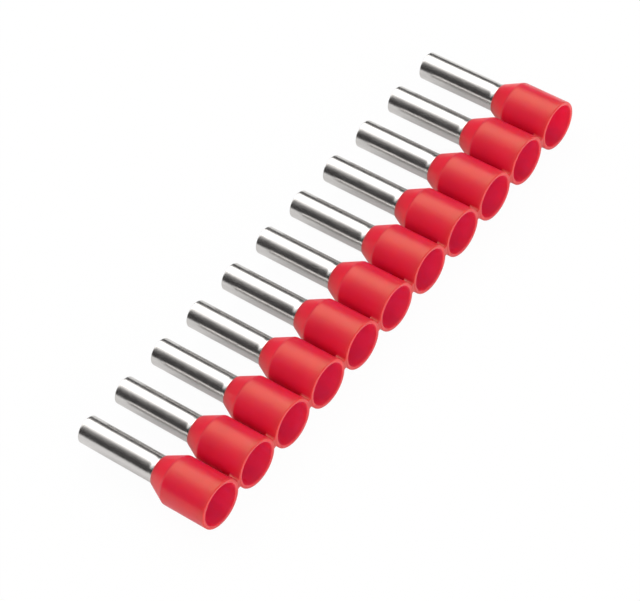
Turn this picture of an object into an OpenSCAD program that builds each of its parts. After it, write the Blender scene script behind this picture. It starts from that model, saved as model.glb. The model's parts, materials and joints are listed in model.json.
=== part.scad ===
// Strip of insulated wire ferrules. Each ferrule is a tin-plated copper sleeve, flared at its rear end,
// seated in a funnel-shaped plastic collar. The collars are moulded side by side in one piece, joined
// near their mouths by thin break-off webs.
//
// Frame: millimetres, +Z up. The strip lies flat with its row along X. The mouths face -Y and the sleeve
// tips +Y. The origin is under the middle of the strip, on the surface that it lies on.

/* [Sleeve] */
// Inside diameter of the sleeve, for the conductor
sleeve_bore_d = 2.2; // [1.8:0.05:2.4]
// Wall of the copper tube
sleeve_wall = 0.15; // [0.1:0.01:0.2]
// Length of sleeve that stands out of the collar
sleeve_length = 7.8; // [6:0.1:18]
// Radius of the deburred edges at the tip
tip_round = 0.06; // [0.02:0.01:0.09]
// How far the tube swells where it enters the collar
neck_rise = 0.03; // [0.01:0.01:0.06]
// Length over which the tube swells, outside the collar
neck_length = 0.5; // [0.2:0.05:1]
// Outer bend radius where the tube turns out into its flare
flare_bend = 0.5; // [0.3:0.05:0.8]
// Outside diameter of the flared rear end
flare_d = 3.6; // [3.2:0.05:3.7]

/* [Collar] */
// Outside diameter of the collar
collar_od = 4.5; // [4.4:0.05:5]
// Wall of the collar
collar_wall = 0.32; // [0.25:0.01:0.36]
// Length of the straight part of the collar, from the mouth
collar_length = 4.45; // [3.5:0.05:8]
// Length of the cone between the straight part and the nose
cone_length = 1.75; // [1.5:0.05:2]
// Wall of the collar at its nose, round the sleeve
nose_wall = 0.08; // [0.06:0.01:0.12]
// Radius of the two edges of the mouth's rim
rim_round = 0.1; // [0.04:0.01:0.12]
// Radius of the edge between the straight part and the cone
shoulder_round = 0.3; // [0.1:0.05:0.6]
// Radius of the nose's outer edge
nose_round = 0.06; // [0.02:0.01:0.08]

/* [Strip] */
// Space between neighbouring collars
collar_gap = 0.25; // [0.15:0.05:0.6]
// Height of a web at its waist
web_height = 1; // [0.5:0.05:1.2]
// Length of a web along the collars
web_depth = 1; // [0.6:0.1:2.5]
// How far the webs' front faces lie behind the mouths
web_setback = 0.03; // [0.02:0.01:0.1]

/* [Fit] */
// Clearance between a sleeve and its seat in the collar
seat_clearance = 0.02; // [0.01:0.01:0.04]

/* [Hidden] */
NODES = ["collar_strip", "sleeve_01", "sleeve_02", "sleeve_03", "sleeve_04", "sleeve_05", "sleeve_06",
         "sleeve_07", "sleeve_08", "sleeve_09", "sleeve_10", "sleeve_11"];
$fn = 64;

// steps in each rounded stretch of a profile
ARC_STEPS = 5;

ferrule_count = len(NODES) - 1;
pitch = collar_od + collar_gap;

// radii of the sleeve: its tip end, its neck inside the collar's nose, and its flared end
sleeve_r = sleeve_bore_d / 2 + sleeve_wall;
neck_r = sleeve_r + neck_rise;
flare_r = flare_d / 2;

// radii of the collar
collar_r = collar_od / 2;
mouth_r = collar_r - collar_wall;
nose_hole_r = neck_r + seat_clearance;
nose_r = nose_hole_r + nose_wall;

// distances along a ferrule, from the plane of its mouth
nose_at = collar_length + cone_length;
tip_at = nose_at + sleeve_length;

// The cone's angle from the axis. The funnel inside it and the sleeve's flare are parallel to it, so each
// of those surfaces is a distance from the axis's foot along the cone's outward normal.
cone_angle = atan2(collar_r - nose_r, cone_length);
normal = [cos(cone_angle), sin(cone_angle)];
cone_offset = normal * [collar_r, collar_length];
funnel_offset = cone_offset - collar_wall;
flare_outer_offset = funnel_offset - seat_clearance;
flare_inner_offset = flare_outer_offset - sleeve_wall;

// centre of the bend between neck and flare, shared by the collar's seat and both faces of the tube
bend_r = neck_r + flare_bend;
bend_at = (flare_outer_offset + flare_bend - normal[0] * bend_r) / normal[1];

// The fillets above and below a web's waist end at its roots, a little under the skin of both collars.
// Each fillet touches the root circle of both: its radius, its centre's height and where it touches.
web_root_depth = 0.02;
web_root_r = collar_r - web_root_depth;
web_fillet = (pow(pitch / 2, 2) + pow(web_height / 2, 2) - pow(web_root_r, 2))
    / (2 * web_root_r - web_height);
fillet_at = web_height / 2 + web_fillet;
web_root = [pitch / 2 * web_fillet, fillet_at * web_root_r] / (web_root_r + web_fillet);

// place of the strip: its sleeves' axes lie level, at the collars' radius above the surface
mouth_y = -tip_at / 2;
axis_z = collar_r;

// Distance along the axis at which a sloping surface with this offset has this radius
function along(offset, radius) = (offset - normal[0] * radius) / normal[1];

// Points of an arc of radius size about [radius, place], from one angle to another
function arc(radius, place, size, from, to) =
    [for (i = [0 : ARC_STEPS])
        let (a = from + (to - from) * i / ARC_STEPS)
        [radius + size * cos(a), place + size * sin(a)]];

// Points of the neck's swelling: a half cosine wave from the tube's radius up to its neck radius
function swelling(radius, from, to) =
    [for (i = [0 : ARC_STEPS])
        let (t = i / ARC_STEPS)
        [radius + neck_rise * (1 - cos(180 * t)) / 2, from + (to - from) * t]];

// Half section of a collar, as [radius, distance from the mouth]
function collar_section() =
    let (shoulder_tangent = shoulder_round * tan(cone_angle / 2),
         nose_tangent = nose_round * tan((90 - cone_angle) / 2))
    concat(
        // rim, from its inner edge to its outer edge
        arc(mouth_r + rim_round, rim_round, rim_round, 180, 270),
        arc(collar_r - rim_round, rim_round, rim_round, 270, 360),
        // shoulder
        arc(collar_r - shoulder_round, collar_length - shoulder_tangent, shoulder_round, 0, cone_angle),
        // nose
        arc(nose_r - nose_tangent, nose_at - nose_round, nose_round, cone_angle, 90),
        [[nose_hole_r, nose_at]],
        // seat of the sleeve's bend and flare, then the funnel up to the straight bore
        arc(bend_r, bend_at, flare_bend - seat_clearance, 180, 180 + cone_angle),
        [[mouth_r, along(funnel_offset, mouth_r)]]
    );

// Half section of a sleeve, from its tip along the outside to the flare and back along the inside
function sleeve_section() =
    let (bore_r = sleeve_bore_d / 2,
         flare_edge = [flare_r, along(flare_outer_offset, flare_r)])
    concat(
        arc(sleeve_r - tip_round, tip_at - tip_round, tip_round, 90, 0),
        swelling(sleeve_r, nose_at + neck_length, nose_at),
        arc(bend_r, bend_at, flare_bend, 180, 180 + cone_angle),
        [flare_edge, flare_edge - sleeve_wall * normal],
        arc(bend_r, bend_at, flare_bend + sleeve_wall, 180 + cone_angle, 180),
        [for (i = [ARC_STEPS : -1 : 0]) swelling(bore_r, nose_at + neck_length, nose_at)[i]],
        arc(bore_r + tip_round, tip_at - tip_round, tip_round, 180, 90)
    );

// Centre of a ferrule along the row, counted from 0 at the -X end
function ferrule_x(i) = (i - (ferrule_count - 1) / 2) * pitch;

// Turns a half section about the axis of ferrule i
module turned(section, i) {
    translate([ferrule_x(i), mouth_y, axis_z])
        rotate([-90, 0, 0])
            rotate_extrude()
                polygon(section);
}

// Web between ferrule i and the next: a bar with a hollowed top and underside, whose ends are buried in
// the two collars' walls
module web(i) {
    translate([ferrule_x(i + 0.5), mouth_y + web_setback, axis_z])
        rotate([-90, 0, 0])
            linear_extrude(web_depth)
                difference() {
                    square(2 * web_root + [collar_wall / 2, 0], center = true);
                    for (side = [-1, 1])
                        translate([0, side * fillet_at])
                            circle(web_fillet);
                }
}

module collar_strip() {
    color([0.84, 0.1, 0.2])
        union() {
            for (i = [0 : ferrule_count - 1])
                turned(collar_section(), i);
            for (i = [0 : ferrule_count - 2])
                web(i);
        }
}

module sleeve(i) {
    color([0.78, 0.78, 0.77])
        turned(sleeve_section(), i);
}

collar_strip();
sleeve(0);  // sleeve_01
sleeve(1);  // sleeve_02
sleeve(2);  // sleeve_03
sleeve(3);  // sleeve_04
sleeve(4);  // sleeve_05
sleeve(5);  // sleeve_06
sleeve(6);  // sleeve_07
sleeve(7);  // sleeve_08
sleeve(8);  // sleeve_09
sleeve(9);  // sleeve_10
sleeve(10);  // sleeve_11
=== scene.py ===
"""Looks of a break-off strip of insulated wire ferrules: satin red collars moulded in one strip, and
bright tin-plated copper sleeves seated in them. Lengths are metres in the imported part's frame: the row
runs along X, the mouths face -Y, the sleeves' tips +Y, and the strip lies on the plane z = 0."""
import json
import math

import bpy
import numpy as np
from mathutils import Matrix, Vector


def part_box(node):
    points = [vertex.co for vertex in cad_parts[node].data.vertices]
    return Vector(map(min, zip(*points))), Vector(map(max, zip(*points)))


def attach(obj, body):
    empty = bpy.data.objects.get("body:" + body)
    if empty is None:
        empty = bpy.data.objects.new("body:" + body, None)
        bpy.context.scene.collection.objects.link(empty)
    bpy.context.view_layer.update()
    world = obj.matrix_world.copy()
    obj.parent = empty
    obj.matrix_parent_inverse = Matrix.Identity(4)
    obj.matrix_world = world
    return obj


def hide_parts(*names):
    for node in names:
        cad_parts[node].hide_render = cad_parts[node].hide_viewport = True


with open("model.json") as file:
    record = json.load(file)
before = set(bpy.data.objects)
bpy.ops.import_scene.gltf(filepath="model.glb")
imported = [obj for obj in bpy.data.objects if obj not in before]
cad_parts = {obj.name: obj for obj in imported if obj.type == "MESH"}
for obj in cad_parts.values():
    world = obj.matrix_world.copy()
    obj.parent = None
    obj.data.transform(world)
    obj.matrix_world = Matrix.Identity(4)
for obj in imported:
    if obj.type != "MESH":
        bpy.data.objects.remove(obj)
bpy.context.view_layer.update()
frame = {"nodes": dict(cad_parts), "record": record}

MM = 0.001

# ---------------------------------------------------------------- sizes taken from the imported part
MOUNTS = {mount["name"]: mount for mount in frame["record"]["mounts"]}
SLEEVES = sorted(name for name in frame["nodes"] if name.startswith("sleeve_"))
strip_low, strip_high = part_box("collar_strip")
sleeve_low, sleeve_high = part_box(SLEEVES[0])

AXIS_Z = (strip_low.z + strip_high.z) / 2
MOUTH_Y = strip_low.y
NOSE_Y = strip_high.y
TIP_Y = sleeve_high.y
COLLAR_R = MOUNTS["insulation_bore_01"]["pos_m"][2] - strip_low.z
MOUTH_R = MOUNTS["insulation_bore_01"]["dims"]["r_mm"] * MM
BORE_R = MOUNTS["conductor_bore_01"]["dims"]["r_mm"] * MM
SLEEVE_R = MOUNTS["sleeve_pin_01"]["dims"]["r_mm"] * MM
FLARE_R = (sleeve_high.x - sleeve_low.x) / 2
CENTRES = [MOUNTS[f"sleeve_pin_{i + 1:02d}"]["pos_m"][0] for i in range(len(SLEEVES))]
PITCH = CENTRES[1] - CENTRES[0]

# ---------------------------------------------------------------- sizes of the finer forms
RIM_ROUND = 0.1 * MM
SHOULDER_Y = MOUTH_Y + 4.45 * MM
SHOULDER_ROUND = 0.3 * MM
NOSE_WALL = 0.08 * MM
NOSE_ROUND = 0.06 * MM
SEAT_CLEARANCE = 0.02 * MM
NECK_RISE = 0.03 * MM
NECK_LENGTH = 0.5 * MM
FLARE_BEND = 0.5 * MM
TIP_ROUND = 0.06 * MM
WEB_HEIGHT = 1.0 * MM
WEB_DEPTH = 1.0 * MM
WEB_SETBACK = 0.03 * MM
WEB_ROOT_DEPTH = 0.02 * MM

TUBE_WALL = SLEEVE_R - BORE_R
COLLAR_WALL = COLLAR_R - MOUTH_R
NECK_R = SLEEVE_R + NECK_RISE
NOSE_HOLE_R = NECK_R + SEAT_CLEARANCE
NOSE_R = NOSE_HOLE_R + NOSE_WALL

# The cone, the funnel inside it and the sleeve's flare are parallel. Each is a distance along the
# cone's outward normal, taken in the half plane of radius and distance along the axis.
CONE_ANGLE = math.atan2(COLLAR_R - NOSE_R, NOSE_Y - SHOULDER_Y)
NORMAL = np.array([math.cos(CONE_ANGLE), math.sin(CONE_ANGLE)])
CONE_OFFSET = float(NORMAL @ [COLLAR_R, SHOULDER_Y])
FUNNEL_OFFSET = CONE_OFFSET - COLLAR_WALL
FLARE_OFFSET = FUNNEL_OFFSET - SEAT_CLEARANCE
BEND_R = NECK_R + FLARE_BEND
BEND_Y = float((FLARE_OFFSET + FLARE_BEND - NORMAL[0] * BEND_R) / NORMAL[1])

# The fillets above and below a web's waist touch both collars' walls a little under their skin.
WEB_ROOT_R = COLLAR_R - WEB_ROOT_DEPTH
WEB_FILLET = ((PITCH / 2) ** 2 + (WEB_HEIGHT / 2) ** 2 - WEB_ROOT_R ** 2) / (2 * WEB_ROOT_R - WEB_HEIGHT)
WEB_ROOT_X = PITCH / 2 * WEB_FILLET / (WEB_ROOT_R + WEB_FILLET)

# Colour of the plastic on its straight wall, then painted light: paler colours painted inside the mouths,
# on the cones and next to the free edges, standing in for light coming through the thin wall. The edge's
# painted glow fades over these depths.
SKIN = np.array([0.65, 0.006, 0.046])
BORE_PAINTED_GLOW = np.array([0.98, 0.030, 0.120])
CONE_PAINTED_LIGHT = np.array([0.86, 0.003, 0.040])
EDGE_PAINTED_GLOW = np.array([0.46, 0.057, 0.046])
MOUTH_GLOW_DEPTH = 0.35 * MM
NOSE_GLOW_DEPTH = 0.15 * MM
EDGE_SHARE = 0.6

# Shares of the floor's own white in what the camera sees and in what shiny surfaces show, then the room
# as shiny surfaces show it and as it lights matt ones
FLOOR_WHITE_SEEN = 0.97
FLOOR_WHITE_SHOWN = 0.25
ROOM_SHOWN = (0.05, 0.047, 0.048, 1)
ROOM_LIGHT = (0.42, 0.42, 0.42, 1)

# ---------------------------------------------------------------- fineness of the meshes
COLLAR_SIDES = 88
SLEEVE_SIDES = 128
ARC_STEPS = 7
STRAIGHT_STEPS = 12
SHORT_STEPS = 3
SHORT_RUN = 0.5 * MM
WEB_STEPS = 12
WEB_SIDES = 48
WEB_SQUARENESS = 0.2
SMOOTH_ANGLE = math.radians(32)


# ---------------------------------------------------------------- sections and surfaces
def arc(radius, place, size, start, stop, steps=ARC_STEPS):
    """Points of a circle's arc in the half plane: (radius + size cos a, place + size sin a)."""
    a = np.radians(np.linspace(start, stop, steps + 1))
    return np.column_stack([radius + size * np.cos(a), place + size * np.sin(a)])


def line(start, stop):
    """Points between two ends, without the ends, denser near both: t = (1 - cos(pi s)) / 2."""
    steps = STRAIGHT_STEPS if np.linalg.norm(stop - start) > SHORT_RUN else SHORT_STEPS
    t = (1 - np.cos(np.pi * np.arange(1, steps) / steps)) / 2
    return start + t[:, None] * (stop - start)


def along(offset, radius):
    """Where a surface with this offset along the cone's normal has this radius."""
    return (offset - NORMAL[0] * radius) / NORMAL[1]


def swelling(radius, start, stop, steps=ARC_STEPS):
    """The neck: the radius grows by half a cosine wave between two places."""
    t = np.linspace(0, 1, steps + 1)
    return np.column_stack([radius + NECK_RISE * (1 - np.cos(np.pi * t)) / 2, start + (stop - start) * t])


def joined(*stretches):
    """One closed section from rounded stretches, with a straight run of points between each two."""
    points = []
    for this, following in zip(stretches, stretches[1:] + stretches[:1]):
        points += [this, line(this[-1], following[0])]
    return np.vstack(points)


def collar_section():
    """Closed half section of a collar: rim, straight wall, shoulder, cone, nose, seat, funnel and bore."""
    shoulder_tangent = SHOULDER_ROUND * math.tan(CONE_ANGLE / 2)
    nose_tangent = NOSE_ROUND * math.tan((math.pi / 2 - CONE_ANGLE) / 2)
    cone = math.degrees(CONE_ANGLE)
    return joined(
        arc(MOUTH_R + RIM_ROUND, MOUTH_Y + RIM_ROUND, RIM_ROUND, 180, 270),
        arc(COLLAR_R - RIM_ROUND, MOUTH_Y + RIM_ROUND, RIM_ROUND, 270, 360),
        arc(COLLAR_R - SHOULDER_ROUND, SHOULDER_Y - shoulder_tangent, SHOULDER_ROUND, 0, cone),
        arc(NOSE_R - nose_tangent, NOSE_Y - NOSE_ROUND, NOSE_ROUND, cone, 90, 3),
        np.array([[NOSE_HOLE_R, NOSE_Y]]),
        arc(BEND_R, BEND_Y, FLARE_BEND - SEAT_CLEARANCE, 180, 180 + cone),
        np.array([[MOUTH_R, along(FUNNEL_OFFSET, MOUTH_R)]]),
    )


def sleeve_section():
    """Closed half section of a sleeve: deburred tip, tube, neck and flare, then back along the inside."""
    cone = math.degrees(CONE_ANGLE)
    flare_edge = np.array([FLARE_R, along(FLARE_OFFSET, FLARE_R)])
    neck_ends = NOSE_Y + NECK_LENGTH, NOSE_Y
    return joined(
        arc(SLEEVE_R - TIP_ROUND, TIP_Y - TIP_ROUND, TIP_ROUND, 90, 0),
        swelling(SLEEVE_R, *neck_ends),
        arc(BEND_R, BEND_Y, FLARE_BEND, 180, 180 + cone),
        flare_edge[None],
        (flare_edge - TUBE_WALL * NORMAL)[None],
        arc(BEND_R, BEND_Y, FLARE_BEND + TUBE_WALL, 180 + cone, 180),
        swelling(BORE_R, *neck_ends)[::-1],
        arc(BORE_R + TIP_ROUND, TIP_Y - TIP_ROUND, TIP_ROUND, 180, 90),
    )


def revolved(section, centre_x, sides):
    """A closed section turned about a ferrule's axis: the point with radius r and place y goes to
    (centre_x + r cos a, y, AXIS_Z + r sin a), for equal steps of a round the whole circle."""
    a = np.arange(sides)[:, None] * 2 * np.pi / sides
    r, y = section[:, 0], section[:, 1]
    points = np.stack([centre_x + r * np.cos(a), y + 0 * a, AXIS_Z + r * np.sin(a)], axis=-1)
    return points.reshape(-1, 3), ring_faces(sides, len(section), True)


def ring_faces(rows, columns, closed_rows):
    """Quads of a grid whose columns close into a ring, and whose rows close too if asked."""
    i = np.arange(rows if closed_rows else rows - 1)[:, None]
    j = np.arange(columns)[None]
    after_i, after_j = (i + 1) % rows, (j + 1) % columns
    corners = [i * columns + j, i * columns + after_j, after_i * columns + after_j, after_i * columns + j]
    return np.stack(np.broadcast_arrays(*corners), axis=-1).reshape(-1, 4)


def web(middle_x):
    """A break-off web between two collars. Across the space, x = root sin(pi s / 2) for s from -1 to 1,
    and the half height is waist / 2 + fillet - sqrt(fillet^2 - x^2), between two fillet circles. Round
    it, (cos a, sin a), each to the power 1 / 5, is a rectangle with rounded corners for y and z."""
    s = np.linspace(-1, 1, WEB_STEPS + 1)[:, None]
    a = np.arange(WEB_SIDES)[None] * 2 * np.pi / WEB_SIDES
    x = WEB_ROOT_X * np.sin(np.pi * s / 2)
    half_height = WEB_HEIGHT / 2 + WEB_FILLET - np.sqrt(WEB_FILLET ** 2 - x ** 2)
    along_y, up = (np.sign(wave) * np.abs(wave) ** WEB_SQUARENESS for wave in (np.cos(a), np.sin(a)))
    y = MOUTH_Y + WEB_SETBACK + WEB_DEPTH / 2 * (1 + along_y)
    z = AXIS_Z + half_height * up
    points = np.stack(np.broadcast_arrays(middle_x + x, y, z), axis=-1).reshape(-1, 3)
    return points, ring_faces(WEB_STEPS + 1, WEB_SIDES, False)


def web_ends(count):
    """The two end faces of each web, as polygons of point numbers that face outwards."""
    ends = []
    for i in range(count):
        first = i * (WEB_STEPS + 1) * WEB_SIDES
        last_ring = first + WEB_STEPS * WEB_SIDES
        ends += [range(first + WEB_SIDES - 1, first - 1, -1), range(last_ring, last_ring + WEB_SIDES)]
    return ends


def plastic_colour_and_painted_glow(points):
    """Colour of the plastic at each point, with painted light: paler colours painted inside the mouths, on
    the cones and next to the free edges. The share of the painted glow inside is the depth under the outer
    skin over the wall, and the share of the painted light on a cone grows over a shoulder's radius. Next
    to a mouth or a nose, the share of the painted edge glow is exp(-distance / glow depth)."""
    centres = np.array(CENTRES)
    x = points[:, 0] - centres[np.abs(points[:, :1] - centres).argmin(axis=1)]
    y = points[:, 1]
    r = np.hypot(x, points[:, 2] - AXIS_Z)
    depth = np.minimum(COLLAR_R - r, CONE_OFFSET - NORMAL[0] * r - NORMAL[1] * y)
    from_mouth = np.exp(-(y - MOUTH_Y) / MOUTH_GLOW_DEPTH)
    from_nose = np.exp(-(NOSE_Y - y) / NOSE_GLOW_DEPTH)
    colour = SKIN
    # Painted light: paler colours are mixed in for the mouths' insides, the cones and the free edges.
    for share, lit in (
        ((y - SHOULDER_Y) / SHOULDER_ROUND, CONE_PAINTED_LIGHT),
        (depth / COLLAR_WALL, BORE_PAINTED_GLOW),
        (EDGE_SHARE * np.maximum(from_mouth, from_nose), EDGE_PAINTED_GLOW),
    ):
        share = np.clip(share, 0, 1)[:, None]
        colour = (1 - share) * colour + share * lit
    return colour


def new_piece(name, parts, caps=()):
    """One mesh from (points, quads) parts, with each cap a polygon of point numbers. It is smooth up to
    SMOOTH_ANGLE."""
    points, faces, first = [], [], 0
    for part_points, quads in parts:
        points.append(part_points)
        faces += (quads + first).tolist()
        first += len(part_points)
    mesh = bpy.data.meshes.new(name)
    mesh.from_pydata(np.vstack(points).tolist(), [], faces + [list(cap) for cap in caps])
    mesh.validate()
    mesh.shade_smooth()
    mesh.set_sharp_from_angle(angle=SMOOTH_ANGLE)
    piece = bpy.data.objects.new(name, mesh)
    bpy.context.collection.objects.link(piece)
    return piece


def fused(first, second):
    """Two closed pieces made one, without the walls that lie inside either."""
    union = first.modifiers.new("union", "BOOLEAN")
    union.operation = "UNION"
    union.solver = "MANIFOLD"
    union.object = second
    shape = first.evaluated_get(bpy.context.evaluated_depsgraph_get())
    first.data = bpy.data.meshes.new_from_object(shape)
    first.modifiers.clear()
    first.data.materials.clear()
    bpy.data.objects.remove(second)
    first.data.shade_smooth()
    first.data.set_sharp_from_angle(angle=SMOOTH_ANGLE)
    return first


def make_collars(material):
    """The moulded strip: a collar round each sleeve and a web in each space between two collars."""
    section = collar_section()
    collars = new_piece("moulded_collars", [revolved(section, x, COLLAR_SIDES) for x in CENTRES])
    webs = new_piece(
        "webs",
        [web((left + right) / 2) for left, right in zip(CENTRES, CENTRES[1:])],
        web_ends(len(CENTRES) - 1),
    )
    collars = fused(collars, webs)
    points = np.array([vertex.co for vertex in collars.data.vertices])
    # The colour attribute holds the plastic's colour with painted light: paler inside the mouths, on the
    # cones and next to the free edges.
    colour_and_painted_glow = np.column_stack([plastic_colour_and_painted_glow(points), np.ones(len(points))])
    colours = collars.data.attributes.new("plastic_colour_and_painted_glow", "FLOAT_COLOR", "POINT")
    colours.data.foreach_set("color", colour_and_painted_glow.ravel())
    collars.data.materials.append(material)
    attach(collars, "root")
    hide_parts("collar_strip")


def make_sleeves(material):
    """One tin-plated tube in each collar."""
    section = sleeve_section()
    for node, x in zip(SLEEVES, CENTRES):
        tube = new_piece(node.replace("sleeve", "tinned_tube"), [revolved(section, x, SLEEVE_SIDES)])
        tube.data.materials.append(material)
        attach(tube, "root")
        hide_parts(node)


# ---------------------------------------------------------------- materials
def new_material(name):
    """A material with a Principled shader as its surface: the material, its node tree and the shader."""
    material = bpy.data.materials.new(name)
    material.use_nodes = True
    tree = material.node_tree
    tree.nodes.clear()
    output = tree.nodes.new("ShaderNodeOutputMaterial")
    shader = tree.nodes.new("ShaderNodeBsdfPrincipled")
    tree.links.new(shader.outputs["BSDF"], output.inputs["Surface"])
    return material, tree, shader


def noise(tree, stretch, scale, detail=3.0, roughness=0.5):
    """Noise on object coordinates, stretched by a factor along each axis."""
    place = tree.nodes.new("ShaderNodeTexCoord")
    mapping = tree.nodes.new("ShaderNodeMapping")
    mapping.inputs["Scale"].default_value = stretch
    texture = tree.nodes.new("ShaderNodeTexNoise")
    texture.inputs["Scale"].default_value = scale
    texture.inputs["Detail"].default_value = detail
    texture.inputs["Roughness"].default_value = roughness
    tree.links.new(place.outputs["Object"], mapping.inputs["Vector"])
    tree.links.new(mapping.outputs["Vector"], texture.inputs["Vector"])
    return texture.outputs["Fac"]


def ramp(tree, value, low, high, start=0.3, stop=0.7):
    """Colours from low to high as the value goes from start to stop."""
    node = tree.nodes.new("ShaderNodeValToRGB")
    node.color_ramp.elements[0].position = start
    node.color_ramp.elements[0].color = (*low, 1)
    node.color_ramp.elements[1].position = stop
    node.color_ramp.elements[1].color = (*high, 1)
    tree.links.new(value, node.inputs["Fac"])
    return node.outputs["Color"]


def spread(tree, value, low, high):
    """A number from low to high as the value goes from 0.3 to 0.7, about the range of noise."""
    node = tree.nodes.new("ShaderNodeMapRange")
    node.inputs["From Min"].default_value = 0.3
    node.inputs["From Max"].default_value = 0.7
    node.inputs["To Min"].default_value = low
    node.inputs["To Max"].default_value = high
    tree.links.new(value, node.inputs["Value"])
    return node.outputs["Result"]


def shaded(tree, attribute, value, low, high):
    """The mesh's colour attribute, times a number from low to high as the value goes from 0.3 to 0.7."""
    colours = tree.nodes.new("ShaderNodeAttribute")
    colours.attribute_name = attribute
    scale = tree.nodes.new("ShaderNodeVectorMath")
    scale.operation = "SCALE"
    tree.links.new(colours.outputs["Color"], scale.inputs[0])
    tree.links.new(spread(tree, value, low, high), scale.inputs["Scale"])
    return scale.outputs["Vector"]


def bump(tree, shader, heights, depth, before=None):
    """Relief of the given depth in metres from a value between 0 and 1, over an earlier relief."""
    node = tree.nodes.new("ShaderNodeBump")
    node.inputs["Distance"].default_value = depth
    tree.links.new(heights, node.inputs["Height"])
    if before:
        tree.links.new(before, node.inputs["Normal"])
    tree.links.new(node.outputs["Normal"], shader.inputs["Normal"])
    return node.outputs["Normal"]


def collar_plastic():
    """Satin red moulded plastic: light goes a little way in, paler colours are painted inside the mouths,
    on the cones and next to the free edges as painted light through the thin wall, the colour drifts
    slightly over each collar, and the skin has a fine grain with faint flow lines along the pull of the
    mould."""
    material, tree, shader = new_material("collar_plastic_red")
    drift = noise(tree, (1, 1, 1), 450, detail=2)
    tree.links.new(shaded(tree, "plastic_colour_and_painted_glow", drift, 0.96, 1.04), shader.inputs["Base Color"])
    flow = noise(tree, (1, 0.12, 1), 2600, detail=4)
    tree.links.new(spread(tree, flow, 0.30, 0.38), shader.inputs["Roughness"])
    grain = noise(tree, (1, 1, 1), 9000, detail=3)
    first = bump(tree, shader, flow, 0.002 * MM)
    bump(tree, shader, grain, 0.0015 * MM, first)
    shader.inputs["IOR"].default_value = 1.58
    shader.inputs["Specular Tint"].default_value = (0.7, 1.0, 0.5, 1)
    shader.inputs["Subsurface Weight"].default_value = 0.8
    shader.inputs["Subsurface Radius"].default_value = (1.0, 0.15, 0.15)
    shader.inputs["Subsurface Scale"].default_value = 1.0 * MM
    return material


def sleeve_tin():
    """Bright tin over drawn copper tube: draw lines along the tube, cloudy patches where the plating's
    shine changes, and a very fine grain."""
    material, tree, shader = new_material("sleeve_tin_bright")
    lines = noise(tree, (1, 0.02, 1), 9000, detail=4, roughness=0.65)
    tree.links.new(ramp(tree, lines, (0.60, 0.59, 0.58), (0.68, 0.67, 0.66)), shader.inputs["Base Color"])
    clouds = noise(tree, (1, 0.5, 1), 1500, detail=3)
    tree.links.new(spread(tree, clouds, 0.22, 0.27), shader.inputs["Roughness"])
    first = bump(tree, shader, lines, 0.0008 * MM)
    bump(tree, shader, clouds, 0.0008 * MM, first)
    shader.inputs["Metallic"].default_value = 1.0
    return material


# ---------------------------------------------------------------- floor, lights and camera
def make_floor():
    """A pale sheet under the strip. The camera sees mostly its own white, with a faint shadow left, and
    shiny surfaces show a share of that white too."""
    side = 2.0
    mesh = bpy.data.meshes.new("studio_floor")
    corners = [(-side, -side, 0), (side, -side, 0), (side, side, 0), (-side, side, 0)]
    mesh.from_pydata(corners, [], [(0, 1, 2, 3)])
    floor = bpy.data.objects.new("studio_floor", mesh)
    bpy.context.collection.objects.link(floor)
    material, tree, shader = new_material("studio_floor_white")
    shader.inputs["Base Color"].default_value = (0.86, 0.855, 0.85, 1)
    shader.inputs["Roughness"].default_value = 1.0
    shader.inputs["Specular IOR Level"].default_value = 0.0
    white = tree.nodes.new("ShaderNodeEmission")
    rays = tree.nodes.new("ShaderNodeLightPath")
    seen = tree.nodes.new("ShaderNodeMath")
    seen.operation = "MULTIPLY"
    seen.inputs[1].default_value = FLOOR_WHITE_SEEN
    share = tree.nodes.new("ShaderNodeMath")
    share.operation = "MULTIPLY_ADD"
    share.inputs[1].default_value = FLOOR_WHITE_SHOWN
    mix = tree.nodes.new("ShaderNodeMixShader")
    tree.links.new(rays.outputs["Is Camera Ray"], seen.inputs[0])
    tree.links.new(rays.outputs["Is Glossy Ray"], share.inputs[0])
    tree.links.new(seen.outputs["Value"], share.inputs[2])
    tree.links.new(share.outputs["Value"], mix.inputs["Fac"])
    tree.links.new(shader.outputs["BSDF"], mix.inputs[1])
    tree.links.new(white.outputs["Emission"], mix.inputs[2])
    tree.links.new(mix.outputs["Shader"], tree.nodes["Material Output"].inputs["Surface"])
    mesh.materials.append(material)


def make_world():
    """A room that lights matt surfaces softly from all round, looks dim in shiny ones, and is white to
    the camera."""
    world = bpy.data.worlds.new("studio_room")
    bpy.context.scene.world = world
    world.use_nodes = True
    tree = world.node_tree
    tree.nodes.clear()
    output = tree.nodes.new("ShaderNodeOutputWorld")
    room = tree.nodes.new("ShaderNodeBackground")
    room.inputs["Color"].default_value = ROOM_SHOWN
    walls = tree.nodes.new("ShaderNodeBackground")
    walls.inputs["Color"].default_value = ROOM_LIGHT
    soft = tree.nodes.new("ShaderNodeMixShader")
    white = tree.nodes.new("ShaderNodeBackground")
    rays = tree.nodes.new("ShaderNodeLightPath")
    white.inputs["Color"].default_value = (1, 1, 1, 1)
    mix = tree.nodes.new("ShaderNodeMixShader")
    tree.links.new(rays.outputs["Is Camera Ray"], mix.inputs["Fac"])
    tree.links.new(rays.outputs["Is Diffuse Ray"], soft.inputs["Fac"])
    tree.links.new(room.outputs["Background"], soft.inputs[1])
    tree.links.new(walls.outputs["Background"], soft.inputs[2])
    tree.links.new(soft.outputs["Shader"], mix.inputs[1])
    tree.links.new(white.outputs["Background"], mix.inputs[2])
    tree.links.new(mix.outputs["Shader"], output.inputs["Surface"])


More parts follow.
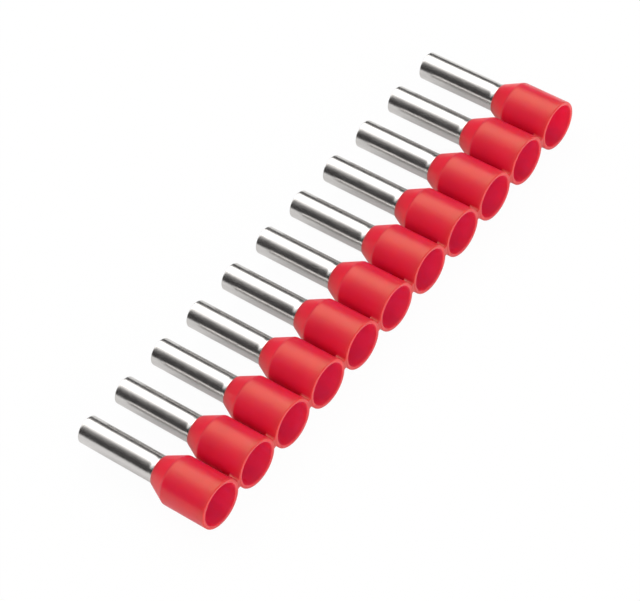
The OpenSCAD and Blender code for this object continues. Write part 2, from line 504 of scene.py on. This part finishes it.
def softbox(name, direction, distance, width, height, radiance, colour=(1, 1, 1), beam=180):
    """A rectangular lamp that faces the strip. Its power is pi times its area times its radiance. With a
    beam under 180 degrees it dims towards its ends, and the factor keeps its radiance straight ahead."""
    lamp = bpy.data.lights.new(name, "AREA")
    lamp.shape = "RECTANGLE"
    lamp.size, lamp.size_y = width, height
    lamp.energy = math.pi * width * height * radiance
    lamp.color = colour
    if beam < 180:
        half = math.radians(beam / 2)
        lamp.spread = 2 * half
        lamp.energy *= 1 - half / math.tan(half)
    lamp_object = bpy.data.objects.new(name, lamp)
    towards = Vector(direction).normalized()
    lamp_object.location = Vector((0, 0, AXIS_Z)) + towards * distance
    lamp_object.rotation_euler = towards.to_track_quat("Z", "Y").to_euler()
    bpy.context.collection.objects.link(lamp_object)
    return lamp_object


def make_lights():
    """A long softbox above and beyond the tips, which dims towards its ends, and a fill in front of the
    mouths. The fill only lights matt surfaces, and shiny ones show a large dim screen beyond it."""
    softbox("key_softbox", (0.335, 0.50, 0.798), 0.40, 1.50, 0.28, 2.85, (1.0, 0.98, 0.96), 132)
    fill = softbox("fill_softbox", (-0.30, -0.92, 0.25), 0.50, 0.60, 0.40, 2.65)
    fill.visible_glossy = False
    softbox("front_screen", (0.0, -0.87, 0.50), 0.90, 1.60, 0.80, 0.5)


AZIMUTH = math.radians(-45.03)
ELEVATION = math.radians(50.30)
ROLL = math.radians(10.13)
DISTANCE = 253.4 * MM
AIM = Vector((-2.81 * MM, -1.08 * MM, AXIS_Z))
LENS = 170.6


def make_camera():
    """A long lens from above the near end's mouths, turned a little about its own axis."""
    data = bpy.data.cameras.new("studio_camera")
    data.lens = LENS
    data.clip_start, data.clip_end = 10 * MM, 10.0
    camera = bpy.data.objects.new("studio_camera", data)
    back = Vector((
        math.sin(AZIMUTH) * math.cos(ELEVATION),
        -math.cos(AZIMUTH) * math.cos(ELEVATION),
        math.sin(ELEVATION),
    ))
    upright = back.to_track_quat("Z", "Y").to_matrix()
    turned = upright @ Matrix.Rotation(-ROLL, 3, "Z")
    camera.matrix_world = Matrix.Translation(AIM + back * DISTANCE) @ turned.to_4x4()
    bpy.context.collection.objects.link(camera)
    bpy.context.scene.camera = camera


make_camera()
make_collars(collar_plastic())
make_sleeves(sleeve_tin())
make_floor()
make_world()
make_lights()
bpy.context.scene.view_settings.view_transform = "Standard"
